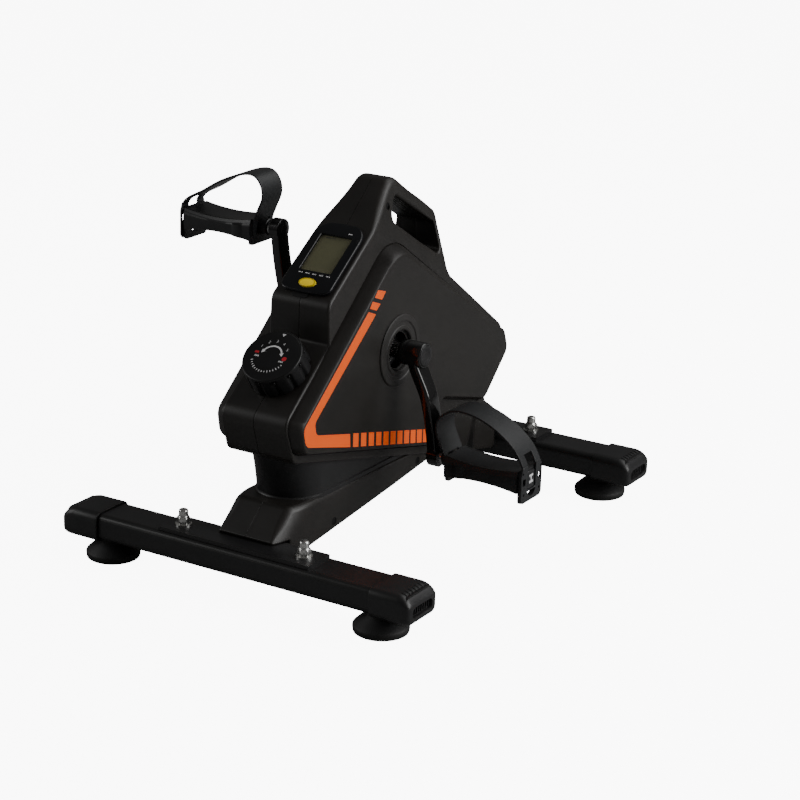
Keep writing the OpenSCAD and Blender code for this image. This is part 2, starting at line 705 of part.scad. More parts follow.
front_stabilizer();
rear_stabilizer();
front_end_caps();
rear_end_caps();
foot(-foot_x, -tube_y);  // foot_front_left
foot(foot_x, -tube_y);  // foot_front_right
foot(-foot_x, tube_y);  // foot_rear_left
foot(foot_x, tube_y);  // foot_rear_right
foot_studs();
front_plate();
rear_plate();
plate_bolts();
plate_washers();
dome_nuts();
main_frame();
housing_left();
housing_right();
neck_cover();
boot_left();
boot_right();
crank_trim_left();
crank_trim_right();
stripe_left();
stripe_right();
cover_screws();
console_case();
console_lens();
lcd_screen();
console_board();
console_battery();
mode_button();
reed_sensor();
sensor_wire();
tension_knob();
knob_spindle();
tension_cable();
magnet_bracket();
brake_magnets();
bracket_pin();
return_spring();
flywheel();
flywheel_axle();
flywheel_bearings();
flywheel_pulley();
drive_belt();
idler_wheel();
idler_arm();
crank_bearings();
crank_axle();
drive_pulley();
sensor_magnet();
crank_left();
crank_right();
crank_caps();
pedal_axles();
pedal_left();
pedal_right();
strap_left();
strap_right();
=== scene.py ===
import json
import math

import bpy
import bmesh
from mathutils import Matrix, Vector
from mathutils.geometry import delaunay_2d_cdt


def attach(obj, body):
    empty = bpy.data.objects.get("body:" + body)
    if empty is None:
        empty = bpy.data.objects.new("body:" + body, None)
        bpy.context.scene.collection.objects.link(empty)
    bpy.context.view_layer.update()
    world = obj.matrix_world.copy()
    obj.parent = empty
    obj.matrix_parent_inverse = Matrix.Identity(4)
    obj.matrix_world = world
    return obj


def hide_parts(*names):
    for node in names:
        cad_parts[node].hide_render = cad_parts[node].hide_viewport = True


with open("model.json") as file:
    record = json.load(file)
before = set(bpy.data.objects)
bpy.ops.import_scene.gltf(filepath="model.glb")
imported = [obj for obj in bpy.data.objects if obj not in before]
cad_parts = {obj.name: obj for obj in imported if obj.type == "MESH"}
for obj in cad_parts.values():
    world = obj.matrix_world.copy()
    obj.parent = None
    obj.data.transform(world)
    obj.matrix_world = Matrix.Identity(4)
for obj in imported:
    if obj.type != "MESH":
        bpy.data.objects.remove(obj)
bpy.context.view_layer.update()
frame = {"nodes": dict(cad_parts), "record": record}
nodes = frame["nodes"]
pi = math.pi
MM = 0.001
SAME_POINT = 1e-6


# ---------------------------------------------------------------- outlines, in mm
def unit(x, y):
    n = math.hypot(x, y)
    return x / n, y / n


def rounded(points, n=8):
    """A closed outline with its corners rounded; each point is (y, z, radius)."""
    out = []
    for i, (y, z, r) in enumerate(points):
        before, after = points[i - 1], points[(i + 1) % len(points)]
        u = unit(before[0] - y, before[1] - z)
        v = unit(after[0] - y, after[1] - z)
        half = math.acos(max(-1, min(1, u[0] * v[0] + u[1] * v[1]))) / 2
        w = unit(u[0] + v[0], u[1] + v[1])
        reach = r / math.tan(half)
        cy, cz = y + w[0] * r / math.sin(half), z + w[1] * r / math.sin(half)
        first = math.atan2(z + u[1] * reach - cz, y + u[0] * reach - cy)
        last = math.atan2(z + v[1] * reach - cz, y + v[0] * reach - cy)
        sweep = (last - first + pi) % (2 * pi) - pi
        turns = [first + sweep * j / n for j in range(n + 1)]
        out += [(cy + r * math.cos(a), cz + r * math.sin(a)) for a in turns]
    return out


def box(y0, y1, z0, z1, r, n=8):
    """A rounded rectangle."""
    return rounded([(y0, z0, r), (y1, z0, r), (y1, z1, r), (y0, z1, r)], n)


def area(loop):
    """Positive where the outline runs anticlockwise."""
    return sum(loop[i - 1][0] * p[1] - p[0] * loop[i - 1][1] for i, p in enumerate(loop)) / 2


def dense(loop, step):
    """The same outline with extra points on its long edges."""
    out = []
    for i, p in enumerate(loop):
        q = loop[(i + 1) % len(loop)]
        n = max(1, round(math.dist(p, q) / step))
        out += [(p[0] + (q[0] - p[0]) * j / n, p[1] + (q[1] - p[1]) * j / n) for j in range(n)]
    return out


def grow(loop, d):
    """The outline moved outwards by d, a number or a function of a point."""
    side = 1 if area(loop) > 0 else -1
    out = []
    for i, p in enumerate(loop):
        a, c = loop[i - 1], loop[(i + 1) % len(loop)]
        e = d(*p) if callable(d) else d
        if min(math.dist(p, a), math.dist(c, p)) < SAME_POINT:
            u = unit(c[0] - a[0], c[1] - a[1])
            out.append((p[0] + side * u[1] * e, p[1] - side * u[0] * e))
            continue
        u, v = unit(p[0] - a[0], p[1] - a[1]), unit(c[0] - p[0], c[1] - p[1])
        m = 1 + u[0] * v[0] + u[1] * v[1]
        out.append((p[0] + side * (u[1] + v[1]) * e / m, p[1] - side * (u[0] + v[0]) * e / m))
    return out


def mix(a, b, t):
    """The outline a share t of the way from a to b."""
    return [(p[0] + (q[0] - p[0]) * t, p[1] + (q[1] - p[1]) * t) for p, q in zip(a, b)]


def full_turn(n):
    return [2 * pi * i / n for i in range(n)]


def ellipse(y, z, ry, rz, n=48):
    return [(y + ry * math.cos(a), z + rz * math.sin(a)) for a in full_turn(n)]


def circle(y, z, r, n=48):
    return ellipse(y, z, r, r, n)


def inside(loop, p):
    """True where the point lies in the outline, by counting crossings."""
    hit = False
    for i, a in enumerate(loop):
        b = loop[i - 1]
        if (a[1] > p[1]) != (b[1] > p[1]):
            if p[0] < (b[0] - a[0]) * (p[1] - a[1]) / (b[1] - a[1]) + a[0]:
                hit = not hit
    return hit


def curve(points, n):
    """A smooth open line through the points, in n steps from each to the next."""
    out = []
    k = len(points)
    for i in range(k - 1):
        a, b, c, d = (Vector(points[max(0, min(k - 1, i + j))]) for j in (-1, 0, 1, 2))
        for j in range(n):
            t = j / n
            out.append(b + (c - a) / 2 * t + (a - 2.5 * b + 2 * c - d / 2) * t * t
                       + (-a / 2 + 1.5 * b - 1.5 * c + d / 2) * t ** 3)
    return out + [Vector(points[-1])]


def at_x(x, loop):
    return [(x, *p) for p in loop]


def plane(x):
    """Places a (y, z) point on the plane at x."""
    return lambda y, z: (x, y, z)


def at_height(h, loop):
    return [(*p, h) for p in loop]


def edge_rows(loop, surface, radius, steps, inwards=1):
    """Rings that round the edge between the wall along the loop and x = surface(y, z)."""
    rows = []
    for i in range(steps + 1):
        a = i / steps * pi / 2
        line = grow(loop, lambda y, z: -inwards * radius(y, z) * (1 - math.cos(a)))
        rows.append([(surface(*p) - radius(*q) * (1 - math.sin(a)), *p)
                     for p, q in zip(line, loop)])
    return rows


# ---------------------------------------------------------------- mesh building
class Build:
    """Points in mm and faces, collected piece by piece."""

    def __init__(self):
        self.v = []
        self.f = []
        self.m = []  # the material of each face
        self.mat = 0  # the material of the next faces

    def points(self, pts):
        start = len(self.v)
        self.v += [tuple(p) for p in pts]
        return list(range(start, len(self.v)))

    def face(self, ids):
        self.f.append(tuple(ids))
        self.m.append(self.mat)

    def band(self, a, b, closed=True):
        n = len(a)
        for i in range(n if closed else n - 1):
            self.face((a[i], a[(i + 1) % n], b[(i + 1) % n], b[i]))

    def rings(self, rows, closed=True, start=False, end=False):
        """Bands between the rows; start and end close the first and last with a face."""
        ids = [self.points(r) for r in rows]
        for a, b in zip(ids, ids[1:]):
            self.band(a, b, closed)
        if start:
            self.face(ids[0])
        if end:
            self.face(ids[-1])

    def flat(self, loops, place, extra=()):
        """Fills the first loop, less the others, with triangles; place gives the 3-D point of
        (y, z), and extra points split the triangles on a curved surface."""
        pts, edges = [], []
        for loop in loops:
            s = len(pts)
            pts += [Vector(p) for p in loop]
            edges += [(s + i, s + (i + 1) % len(loop)) for i in range(len(loop))]
        pts += [Vector(p) for p in extra]
        co, _, faces, *_ = delaunay_2d_cdt(pts, edges, [], 0, 1e-5)
        ids = self.points([place(p[0], p[1]) for p in co])
        for t in faces:
            c = sum((co[i] for i in t), Vector((0, 0))) / len(t)
            if inside(loops[0], c) and not any(inside(h, c) for h in loops[1:]):
                self.face([ids[i] for i in t])

    def lathe(self, profile, place, n=64, wave=None):
        """profile is [(along, radius)]; place(along, r, angle) gives the point."""
        self.rings([[place(h, r + (wave(h, r, a) if wave else 0), a) for a in full_turn(n)]
                    for h, r in profile], start=True, end=True)


def about_x(y=0, z=0):
    return lambda h, r, a: (h, y + r * math.cos(a), z + r * math.sin(a))


def about_z(x, y):
    return lambda h, r, a: (x + r * math.cos(a), y + r * math.sin(a), h)


def piece(name, build, mats, body, stands_for=(), place=None, angle=32, weld=0.01,
          side=1):
    """Makes the object from a Build, in metres. place is a matrix in mm; edges sharper than
    angle stay sharp; side -1 mirrors it in X."""
    mesh = bpy.data.meshes.new(name)
    move = place or Matrix.Identity(4)
    pts = [move @ Vector(p) for p in build.v]
    mesh.from_pydata([(side * p.x * MM, p.y * MM, p.z * MM) for p in pts], [], build.f)
    for p, m in zip(mesh.polygons, build.m):
        p.material_index = m
    for m in mats if isinstance(mats, (list, tuple)) else [mats]:
        mesh.materials.append(m)
    bm = bmesh.new()
    bm.from_mesh(mesh)
    bmesh.ops.remove_doubles(bm, verts=bm.verts, dist=weld * MM)
    bmesh.ops.recalc_face_normals(bm, faces=bm.faces)
    bm.to_mesh(mesh)
    bm.free()
    mesh.shade_smooth()
    mesh.set_sharp_from_angle(angle=math.radians(angle))
    obj = bpy.data.objects.new(name, mesh)
    bpy.context.scene.collection.objects.link(obj)
    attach(obj, body)
    if stands_for:
        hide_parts(*stands_for)
    return obj


def even_shading(obj):
    """Lets the large faces set the shading of the small ones beside them."""
    m = obj.modifiers.new("shading", "WEIGHTED_NORMAL")
    m.keep_sharp = True
    m.weight = 90


def bevel(obj, width, segments=3, limit=30):
    m = obj.modifiers.new("edge", "BEVEL")
    m.width = width * MM
    m.segments = segments
    m.limit_method = "ANGLE"
    m.angle_limit = math.radians(limit)
    m.harden_normals = True


# ---------------------------------------------------------------- materials
BROAD_SCALE = 22
BUMP_DEPTH = 0.00008


def material(name, color, rough, spread=0.06, bump=0.15, scale=1500, metallic=0.0, coat=0.0,
             vary=0.18, streak=None, specular=0.5):
    """A surface with fine grain, faint broad mottling and uneven roughness."""
    m = bpy.data.materials.new(name)
    m.use_nodes = True
    n, link = m.node_tree.nodes, m.node_tree.links
    shader = n["Principled BSDF"]
    coord = n.new("ShaderNodeTexCoord")
    place = n.new("ShaderNodeMapping")
    link.new(coord.outputs["Object"], place.inputs["Vector"])
    if streak:
        place.inputs["Scale"].default_value = streak
    fine = n.new("ShaderNodeTexNoise")
    fine.inputs["Scale"].default_value = scale
    fine.inputs["Detail"].default_value = 3
    broad = n.new("ShaderNodeTexNoise")
    broad.inputs["Scale"].default_value = BROAD_SCALE
    broad.inputs["Detail"].default_value = 6
    broad.inputs["Roughness"].default_value = 0.65
    for noise in (fine, broad):
        link.new(place.outputs["Vector"], noise.inputs["Vector"])

    ramp = n.new("ShaderNodeValToRGB")
    low, high = ramp.color_ramp.elements
    low.position, high.position = 0.35, 0.68
    low.color = (*[c * (1 - vary) for c in color], 1)
    high.color = (*[min(1, c * (1 + vary)) for c in color], 1)
    link.new(broad.outputs["Fac"], ramp.inputs["Fac"])
    link.new(ramp.outputs["Color"], shader.inputs["Base Color"])

    both = n.new("ShaderNodeMath")
    both.operation = "ADD"
    link.new(fine.outputs["Fac"], both.inputs[0])
    link.new(broad.outputs["Fac"], both.inputs[1])
    span = n.new("ShaderNodeMapRange")
    span.inputs["From Min"].default_value = 0.7
    span.inputs["From Max"].default_value = 1.3
    span.inputs["To Min"].default_value = max(0.02, rough - spread)
    span.inputs["To Max"].default_value = min(1, rough + spread)
    link.new(both.outputs[0], span.inputs["Value"])
    link.new(span.outputs["Result"], shader.inputs["Roughness"])

    grain = n.new("ShaderNodeBump")
    grain.inputs["Strength"].default_value = bump
    grain.inputs["Distance"].default_value = BUMP_DEPTH
    link.new(fine.outputs["Fac"], grain.inputs["Height"])
    link.new(grain.outputs["Normal"], shader.inputs["Normal"])
    shader.inputs["Metallic"].default_value = metallic
    shader.inputs["Specular IOR Level"].default_value = specular
    shader.inputs["Coat Weight"].default_value = coat
    shader.inputs["Coat Roughness"].default_value = 0.12
    return m


def painted_glow(m, color, strength):
    """Painted glow: a faint emission in the given colour, though the part is no lamp, that keeps a
    bright plastic saturated in soft light.
    """
    shader = m.node_tree.nodes["Principled BSDF"]
    shader.inputs["Emission Color"].default_value = (*color, 1)
    shader.inputs["Emission Strength"].default_value = strength


def clear_lens():
    """Mostly transparent, with a faint reflection."""
    m = material("lens", (0.02, 0.02, 0.02), 0.05, 0.02, 0.02, 300)
    n, link = m.node_tree.nodes, m.node_tree.links
    through = n.new("ShaderNodeBsdfTransparent")
    blend = n.new("ShaderNodeMixShader")
    blend.inputs["Fac"].default_value = 0.12
    link.new(through.outputs[0], blend.inputs[1])
    link.new(n["Principled BSDF"].outputs[0], blend.inputs[2])
    link.new(blend.outputs[0], n["Material Output"].inputs["Surface"])
    return m


look = {
    "powder_black": material("powder_black", (0.0105, 0.0105, 0.011), 0.36, 0.06, 0.25, 1300),
    "frame_black": material("frame_black", (0.014, 0.014, 0.015), 0.4, 0.08, 0.25, 1300),
    "shell_black": material("shell_black", (0.0142, 0.0124, 0.0108), 0.42, 0.05, 0.22, 2400),
    "cap_black": material("cap_black", (0.011, 0.011, 0.0115), 0.4, 0.06, 0.2, 2000),
    "foot_rubber": material("foot_rubber", (0.012, 0.012, 0.012), 0.6, 0.08, 0.35, 1800),
    "zinc": material("zinc", (0.68, 0.68, 0.66), 0.27, 0.1, 0.12, 700, metallic=1, vary=0.12),
    "stripe_orange": material("stripe_orange", (1.0, 0.12, 0.0), 0.55, 0.05, 0.1, 2400, vary=0.06),
    "screw_black": material("screw_black", (0.008, 0.008, 0.008), 0.35, 0.08, 0.1, 900,
                            metallic=0.6),
    "console_black": material("console_black", (0.007, 0.0075, 0.009), 0.22, 0.05, 0.04, 1800,
                              specular=0.35),
    "lens": clear_lens(),
    "lcd": material("lcd", (0.2, 0.195, 0.105), 0.5, 0.05, 0.03, 2200, vary=0.05),
    "board": material("board", (0.02, 0.12, 0.05), 0.4, 0.08, 0.2, 500),
    "button_yellow": material("button_yellow", (0.85, 0.62, 0.0), 0.5, 0.06, 0.1, 1500, vary=0.05),
    "sensor_black": material("sensor_black", (0.02, 0.02, 0.02), 0.5, 0.08, 0.2, 1500),
    "cable_black": material("cable_black", (0.02, 0.02, 0.02), 0.5, 0.08, 0.2, 1500),
    "knob_black": material("knob_black", (0.008, 0.008, 0.0085), 0.36, 0.06, 0.12, 2400,
                           specular=0.35),
    "bracket_steel": material("bracket_steel", (0.06, 0.06, 0.065), 0.45, 0.1, 0.2, 900),
    "magnet": material("magnet", (0.6, 0.6, 0.62), 0.25, 0.08, 0.08, 900, metallic=1),
    "flywheel_steel": material("flywheel_steel", (0.42, 0.42, 0.43), 0.35, 0.1, 0.2, 300,
                               metallic=1, streak=(0.05, 1, 1)),
    "bright_steel": material("bright_steel", (0.6, 0.6, 0.6), 0.25, 0.08, 0.1, 900, metallic=1,
                             streak=(0.1, 1, 1)),
    "pulley_plastic": material("pulley_plastic", (0.03, 0.03, 0.033), 0.45, 0.08, 0.2, 1500),
    "belt_rubber": material("belt_rubber", (0.012, 0.012, 0.012), 0.6, 0.1, 0.4, 900),
    "idler_nylon": material("idler_nylon", (0.75, 0.74, 0.7), 0.45, 0.08, 0.1, 900, vary=0.05),
    "crank_gloss": material("crank_gloss", (0.005, 0.005, 0.005), 0.17, 0.05, 0.06, 500, coat=0.4),
    "pedal_plastic": material("pedal_plastic", (0.0145, 0.015, 0.016), 0.38, 0.06, 0.2, 2200),
    "strap_rubber": material("strap_rubber", (0.016, 0.017, 0.018), 0.42, 0.06, 0.15, 2000),
}
# Painted glow on the yellow button and the orange stripe, which are no lamps.
painted_glow(look["button_yellow"], (1, 0.7, 0), 0.24)
painted_glow(look["stripe_orange"], (1, 0.08, 0), 0.18)
white = material("mark_white", (0.85, 0.85, 0.85), 0.5, 0.05, 0.05, 1500, vary=0.04)
red = material("mark_red", (0.62, 0.015, 0.03), 0.5, 0.05, 0.05, 1500, vary=0.06)
button_rim = material("button_rim", (0.8, 0.58, 0.0), 0.35, 0.05, 0.05, 1500, vary=0.04)
lcd_dark = material("lcd_dark", (0.1, 0.1, 0.075), 0.4, 0.05, 0.03, 2000, vary=0.08)
# Painted shade: a near-black, matt colour for the pad that stands in for the shaded recess of the
# thumb notch.
painted_notch_shade = material("painted_shade_black", (0.003, 0.003, 0.003), 0.7, 0.05, 0.1, 1500)
trim_look = material("trim_look", (0.02, 0.0185, 0.017), 0.5, 0.05, 0.3, 1800)

# Parts that no Blender piece replaces keep their own shape and get the material of their slot.
for row in frame["record"]["subparts"]:
    mesh = nodes[row["node"]].data
    mesh.materials.clear()
    mesh.materials.append(look[row["material_slot"]])


# ---------------------------------------------------------------- housing shells
TOP = 400.0
DRAFT = math.tan(math.radians(2.08))
HALF_TOP = 33.0
HALF_HANDLE = 22.0
SHOULDER_HALF, SHOULDER_Y, SHOULDER_Z = 36.5, -60, 352
BLEND = 1.2
PANEL_X = 54.0
PANEL_DROP = 1.3
CRANK_Y, CRANK_Z = -27.0, 220.5
HUB_HOLE_R = 22.9
SCREW_R, SCREW_DEEP = 4.3, 3.2
housing = [(3, 404.9, 20), (94, 346, 14), (102.5, 275, 26), (222, 188, 14), (232, 156, 12),
           (180, 108, 8), (211, 88, 14), (209, 38.5, 8), (-211, 141.4, 14), (-226, 187.3, 18),
           (-141, 251.3, 5), (-141, 294.2, 14), (-55, 354.5, 60)]
panel_foot = [(-22, 345, 46), (212, 186, 12), (222, 160, 12), (172, 108, 12), (70, 138, 10),
              (66, 84, 10), (-212, 152, 16), (-222, 186, 12)]
panel_face = [(-33, 333, 36), (207, 186, 14), (216, 162, 12), (166, 115, 14), (62, 145, 14),
              (58, 90, 12), (-207, 154, 16), (-211, 183, 14)]
grip = [(8, 380, 5), (88, 335, 7), (92, 296, 6), (-8, 357.5, 9)]


def side_x(y, z):
    """Half width of the drafted side, drawn in along a slanting shoulder to the handle's."""
    drafted = HALF_TOP + (TOP - z) * DRAFT
    up_slant = 0.41 * (y - SHOULDER_Y) + 0.912 * (z - SHOULDER_Z)
    shoulder = SHOULDER_HALF - 0.255 * up_slant
    drawn_in = HALF_HANDLE + BLEND * math.log(1 + math.exp((shoulder - HALF_HANDLE) / BLEND))
    return -math.log(math.exp(-drafted) + math.exp(-drawn_in))


def on_side(loop, sink=0.0):
    return [(side_x(*p) - sink, *p) for p in loop]


def at_side(y, z):
    return side_x(y, z), y, z


def ease(t):
    """0 to 1 with soft ends."""
    t = max(0.0, min(1.0, t))
    return t * t * (3 - 2 * t)


def soft_edge(y, z):
    """Radius of the edge between the rim and the side: rounder round the handle."""
    return 2.4 + 0.8 * ease((z - 200) / 110) + 5 * ease((z - 345) / 35) * ease((75 - y) / 40)


def grip_edge(y, z):
    """Radius of the finger opening's edge: rounder under the bar."""
    return 5.5 - 3 * ease((y - 50) / 30)


def grip_lining(hole):
    """Rings of the finger opening's wall, from the seam out; ribbed under the bar."""
    depth = [side_x(*p) - grip_edge(*p) for p in hole]
    rows = [at_x(0.1, grow(hole, 0.4))]
    for rib in range(3):
        for x, d in ((0.8, 0), (3.9, 0), (4.3, 0.5), (5.4, 0.5)):
            line = grow(hole, lambda y, z: d * ease((60 - y) / 20))
            rows.append([(w * (x + 5.2 * rib) / 17, *p) for w, p in zip(depth, line)])
    return rows


def panel_rise(foot, face):
    """Rings from the groove round the panel up to its flat face, steep first."""
    rows = [on_side(grow(foot, 1.0)), on_side(grow(foot, 0.85), 0.5),
            on_side(grow(foot, 0.5), PANEL_DROP), on_side(foot, PANEL_DROP)]
    steps = 14
    for i in range(1, steps + 1):
        t = i / steps
        rise = 1 - (1 - t) ** 1.7
        rows.append([(side_x(*q) * (1 - rise) + PANEL_X * rise, *p)
                     for p, q in zip(mix(foot, face, t), foot)])
    return rows


def shell():
    b = Build()
    outer = dense(rounded(housing), 8)
    rows = [at_x(0.1, grow(outer, -0.7)), at_x(0.3, grow(outer, -0.15)), at_x(0.9, outer)]
    rows += edge_rows(outer, side_x, soft_edge, 6)
    b.rings(rows)
    rim = [p[1:] for p in rows[-1]]

    hole = dense(rounded(grip, 6), 6)
    rows = grip_lining(hole) + edge_rows(hole, side_x, grip_edge, 8, -1)
    b.rings(rows)
    grip_rim = [p[1:] for p in rows[-1]]

    foot, face = rounded(panel_foot), rounded(panel_face)
    b.rings(panel_rise(foot, face))
    hub_hole = circle(CRANK_Y, CRANK_Z, HUB_HOLE_R)
    b.flat([face, hub_hole], plane(PANEL_X))
    b.rings([at_x(PANEL_X, hub_hole), at_x(PANEL_X - 2.6, hub_hole)])

    screw = circle(-14, 373, SCREW_R, 24)
    holes = [grip_rim, grow(foot, 1.0), screw]
    spots = [(6 * i, 6 * j) for i in range(-22, 18) for j in range(46, 67)]
    spots = [p for p in spots if inside(rim, p) and not any(inside(h, p) for h in holes)]
    b.flat([rim] + holes, at_side, extra=spots)
    b.rings([on_side(screw), on_side(screw, SCREW_DEEP)])
    return b


for side, name in ((1, "right"), (-1, "left")):
    even_shading(piece("shell_" + name, shell(), look["shell_black"], "root", ["housing_" + name],
                       angle=34, side=side))


# ---------------------------------------------------------------- neck and boot
def neck():
    """The sleeve below the housing: straight at the back, round at the front, flared upwards,
    with a lip at its foot."""
    b = Build()
    rows = []
    r, back, front = 38, 22, -150
    levels = [(84, 0), (85.5, 1.3), (87, 2.0), (89, 2.1), (90.5, 1.3), (91.4, 0)]
    levels += [(91.4 + 55 * i / 12, 0) for i in range(1, 13)]
    for z, lip in levels:
        flare = 12 * max(0, (z - 90) / 41) ** 1.25
        ry, rx = r + lip + flare, r + min(lip, 1.4)
        side = [back - (back - front) * i / 10 for i in range(11)]
        turns = [pi * i / 40 for i in range(41)]
        row = [(rx, y, z) for y in side[:-1]]
        row += [(rx * math.cos(a), front - ry * math.sin(a), z) for a in turns]
        row += [(-rx, y, z) for y in side[-2::-1]]
        rows.append(row)
    b.rings(rows, closed=False)
    return b


BOOT_X = 41.0
boot_side = [(-240, 58.2, 2), (-204, 90, 12), (-57, 86, 8), (30, 84, 6), (84, 70, 3), (64, 66, 5),
             (-10, 57, 30), (-178, 39, 20), (-213, 37, 4), (-213, 58.2, 1)]


def boot_x(y, z):
    """Half width of the boot: drawn in over the 36 mm behind its sloping front."""
    back = y + 240 - (z - 58.2) * 36 / 31.8
    return BOOT_X - 8 * max(0, 1 - back / 36) ** 2


def boot_edge(y, z):
    """Radius of the boot's edges: larger along the top of its front."""
    return 2 + 4 * ease((z - 62) / 15) * ease((-60 - y) / 80)


def boot():
    b = Build()
    outer = dense(rounded(boot_side, 6), 6)
    rows = [at_x(0.1, grow(outer, -0.2)), at_x(0.3, outer)]
    rows += edge_rows(outer, boot_x, boot_edge, 6)
    b.rings(rows)
    rim = [p[1:] for p in rows[-1]]
    inner = grow(rim, -2)
    holes = [circle(y, z, 4.5, 24) for y, z in ((-130, 53), (40, 71.5))]
    kept_off = [grow(h, 2) for h in holes]
    spots = [(-228 + 6 * i, 40 + 6 * j) for i in range(52) for j in range(9)]
    spots = [p for p in spots if inside(inner, p) and not any(inside(h, p) for h in kept_off)]
    b.flat([rim] + holes, lambda y, z: (boot_x(y, z), y, z), extra=spots)
    for h in holes:
        b.rings([at_x(BOOT_X, h), at_x(BOOT_X - 2.6, h)])
    return b


piece("neck_sleeve", neck(), look["cap_black"], "root", ["neck_cover"], angle=40)
for side, name in ((1, "right"), (-1, "left")):
    even_shading(piece("boot_cover_" + name, boot(), look["shell_black"], "root", ["boot_" + name],
                       side=side))


# ---------------------------------------------------------------- trim discs and stripes
def trim():
    """A disc with a groove and a raised lip round the crank's hole, open through the middle."""
    b = Build()
    b.lathe([(53.9, 39.9), (55.2, 39.9), (55.9, 39.2), (56, 38.4), (56, 33.2), (55.6, 32.8),
             (55.1, 32.2), (55.1, 27.8), (55.5, 27.2), (56, 26.8), (56, 24.2), (55.6, 23.3),
             (54.8, 22.8), (51.5, 22.6), (51.2, 20.2), (50.5, 20.1)],
            about_x(CRANK_Y, CRANK_Z), 96)
    b.f, b.m = b.f[:-2], b.m[:-2]  # the two end faces
    return b


def stripe():
    """One bent band, two slanting dashes above it and a row of dashes behind it."""
    b = Build()
    shapes = [rounded([(-91, 278.6, 0.5), (-211, 181, 10), (-206, 161, 12), (-121.5, 137.2, 0.5),
                       (-122.5, 152.3, 0.5), (-187, 169, 7), (-190, 183, 7), (-76.5, 272.7, 0.5)]),
              [(-83.6, 288.2), (-88.6, 281.6), (-75.3, 276.5), (-68, 282.4)],
              [(-73.1, 298.4), (-79.4, 291.6), (-65.1, 286.1), (-57.6, 293.6)]]
    first, pitch, closing, width = -116, 15.725, 0.125, 10.4
    for i in range(11):
        y = first + pitch * i - closing * i * i
        z = 135.8 - 0.2525 * (y - first)
        shapes.append([(y, z), (y + width, z - 2.6), (y + width, z + 12.6), (y, z + 15.3)])
    top_x = PANEL_X + 0.22
    for shape in shapes:
        top = grow(shape, -0.15)
        b.rings([at_x(PANEL_X - 0.1, shape), at_x(PANEL_X + 0.12, shape), at_x(top_x, top)])
        b.flat([top], plane(top_x))
    return b


for side, name in ((1, "right"), (-1, "left")):
    piece("trim_ring_" + name, trim(), trim_look, "root", ["crank_trim_" + name],
          side=side)
    piece("stripe_mark_" + name, stripe(), look["stripe_orange"], "root", ["stripe_" + name],
          side=side)


# ---------------------------------------------------------------- stabilisers' ends, feet and nuts
TUBE_Y = (539.75 - 59) / 2
CAP_START, CAP_END = 172.0, 219.07


def cap(y):
    """End cap: its upper side falls away to a flat end with a ribbed slot."""
    b = Build()
    base = dense(box(-28.5, 28.5, 23, 56, 9), 5)

    def section(x, shrink, drop):
        return [(x, p[0], p[1] - drop * max(0, (p[1] - 36) / 20)) for p in grow(base, -shrink)]

    def place(rows):
        return [[(x, y + a, z) for x, a, z in row] for row in rows]

    rows = [section(*r) for r in (
        (CAP_START, 1.9, 0), (CAP_START, 0.6, 0), (CAP_START + 0.5, 0.1, 0),
        (CAP_START + 1.4, 0, 0), (204, 0, 0), (207, 0, 0.5), (210, 0.1, 1.5), (213, 0.35, 3.1),
        (215.5, 0.9, 4.9), (217.4, 1.8, 6.5), (218.5, 3.0, 7.8), (CAP_END, 4.6, 8.6))]
    b.rings(place(rows))
    end = [p[1:] for p in rows[-1]]
    slot = box(-19, 19, 30.2, 42.2, 5.5)
    bottom = grow(slot, -0.8)
    bottom_x = CAP_END - 4
    b.flat([end, slot], lambda a, z: (CAP_END, y + a, z))
    b.rings(place([at_x(CAP_END, slot), at_x(CAP_END - 0.8, grow(slot, -0.4)),
                   at_x(bottom_x, bottom)]))
    b.flat([bottom], lambda a, z: (bottom_x, y + a, z))
    for i in range(8):
        a = -15 + 30 * i / 7
        low = 32.2 + 1.0 * (i % 2)
        rib = [(a - 1.2, low), (a + 0.6, low), (a + 1.6, 40.2), (a - 0.2, 40.2)]
        b.rings(place([at_x(bottom_x - 0.1, rib), at_x(CAP_END - 2.4, grow(rib, -0.3))]), end=True)
    for i in range(7):
        a = -18 + 6 * i
        path = [(205 + d, 56.15 - 0.045 * d ** 2 - 0.02 * d) for d in (1.3 * j for j in range(8))]
        b.rings(place([[(x, a - 0.7, z - 0.5), (x, a - 0.45, z + 0.25), (x, a + 0.45, z + 0.25),
                        (x, a + 0.7, z - 0.5)] for x, z in path]), end=True, start=True)
    return b


for y, name in ((-TUBE_Y, "front"), (TUBE_Y, "rear")):
    for side, hand in ((1, "right"), (-1, "left")):
        piece(f"cap_{name}_{hand}", cap(y), look["cap_black"], "root", [name + "_end_caps"],
              side=side, angle=38)


def foot(x, y):
    """A rubber foot, finely ribbed round its flare."""
    b = Build()
    profile = [(0, 3), (0, 27.5), (0.6, 28.5), (2, 29.1), (5, 29.5), (7, 29.4), (8, 28.9), (9, 28),
               (12, 24.8), (15, 21.6), (18, 18.4), (20, 16.6), (22, 15.7), (24.9, 15.5), (24.9, 5)]
    b.lathe(profile, about_z(x, y), 216,
            lambda h, r, a: 0.16 * math.cos(72 * a) if 5.3 < h < 18 else 0)
    return b


for y, end in ((-TUBE_Y, "front"), (TUBE_Y, "rear")):
    for x, hand in ((-171, "left"), (171, "right")):
        piece(f"pad_{end}_{hand}", foot(x, y), look["foot_rubber"], "root", [f"foot_{end}_{hand}"],
              angle=50)


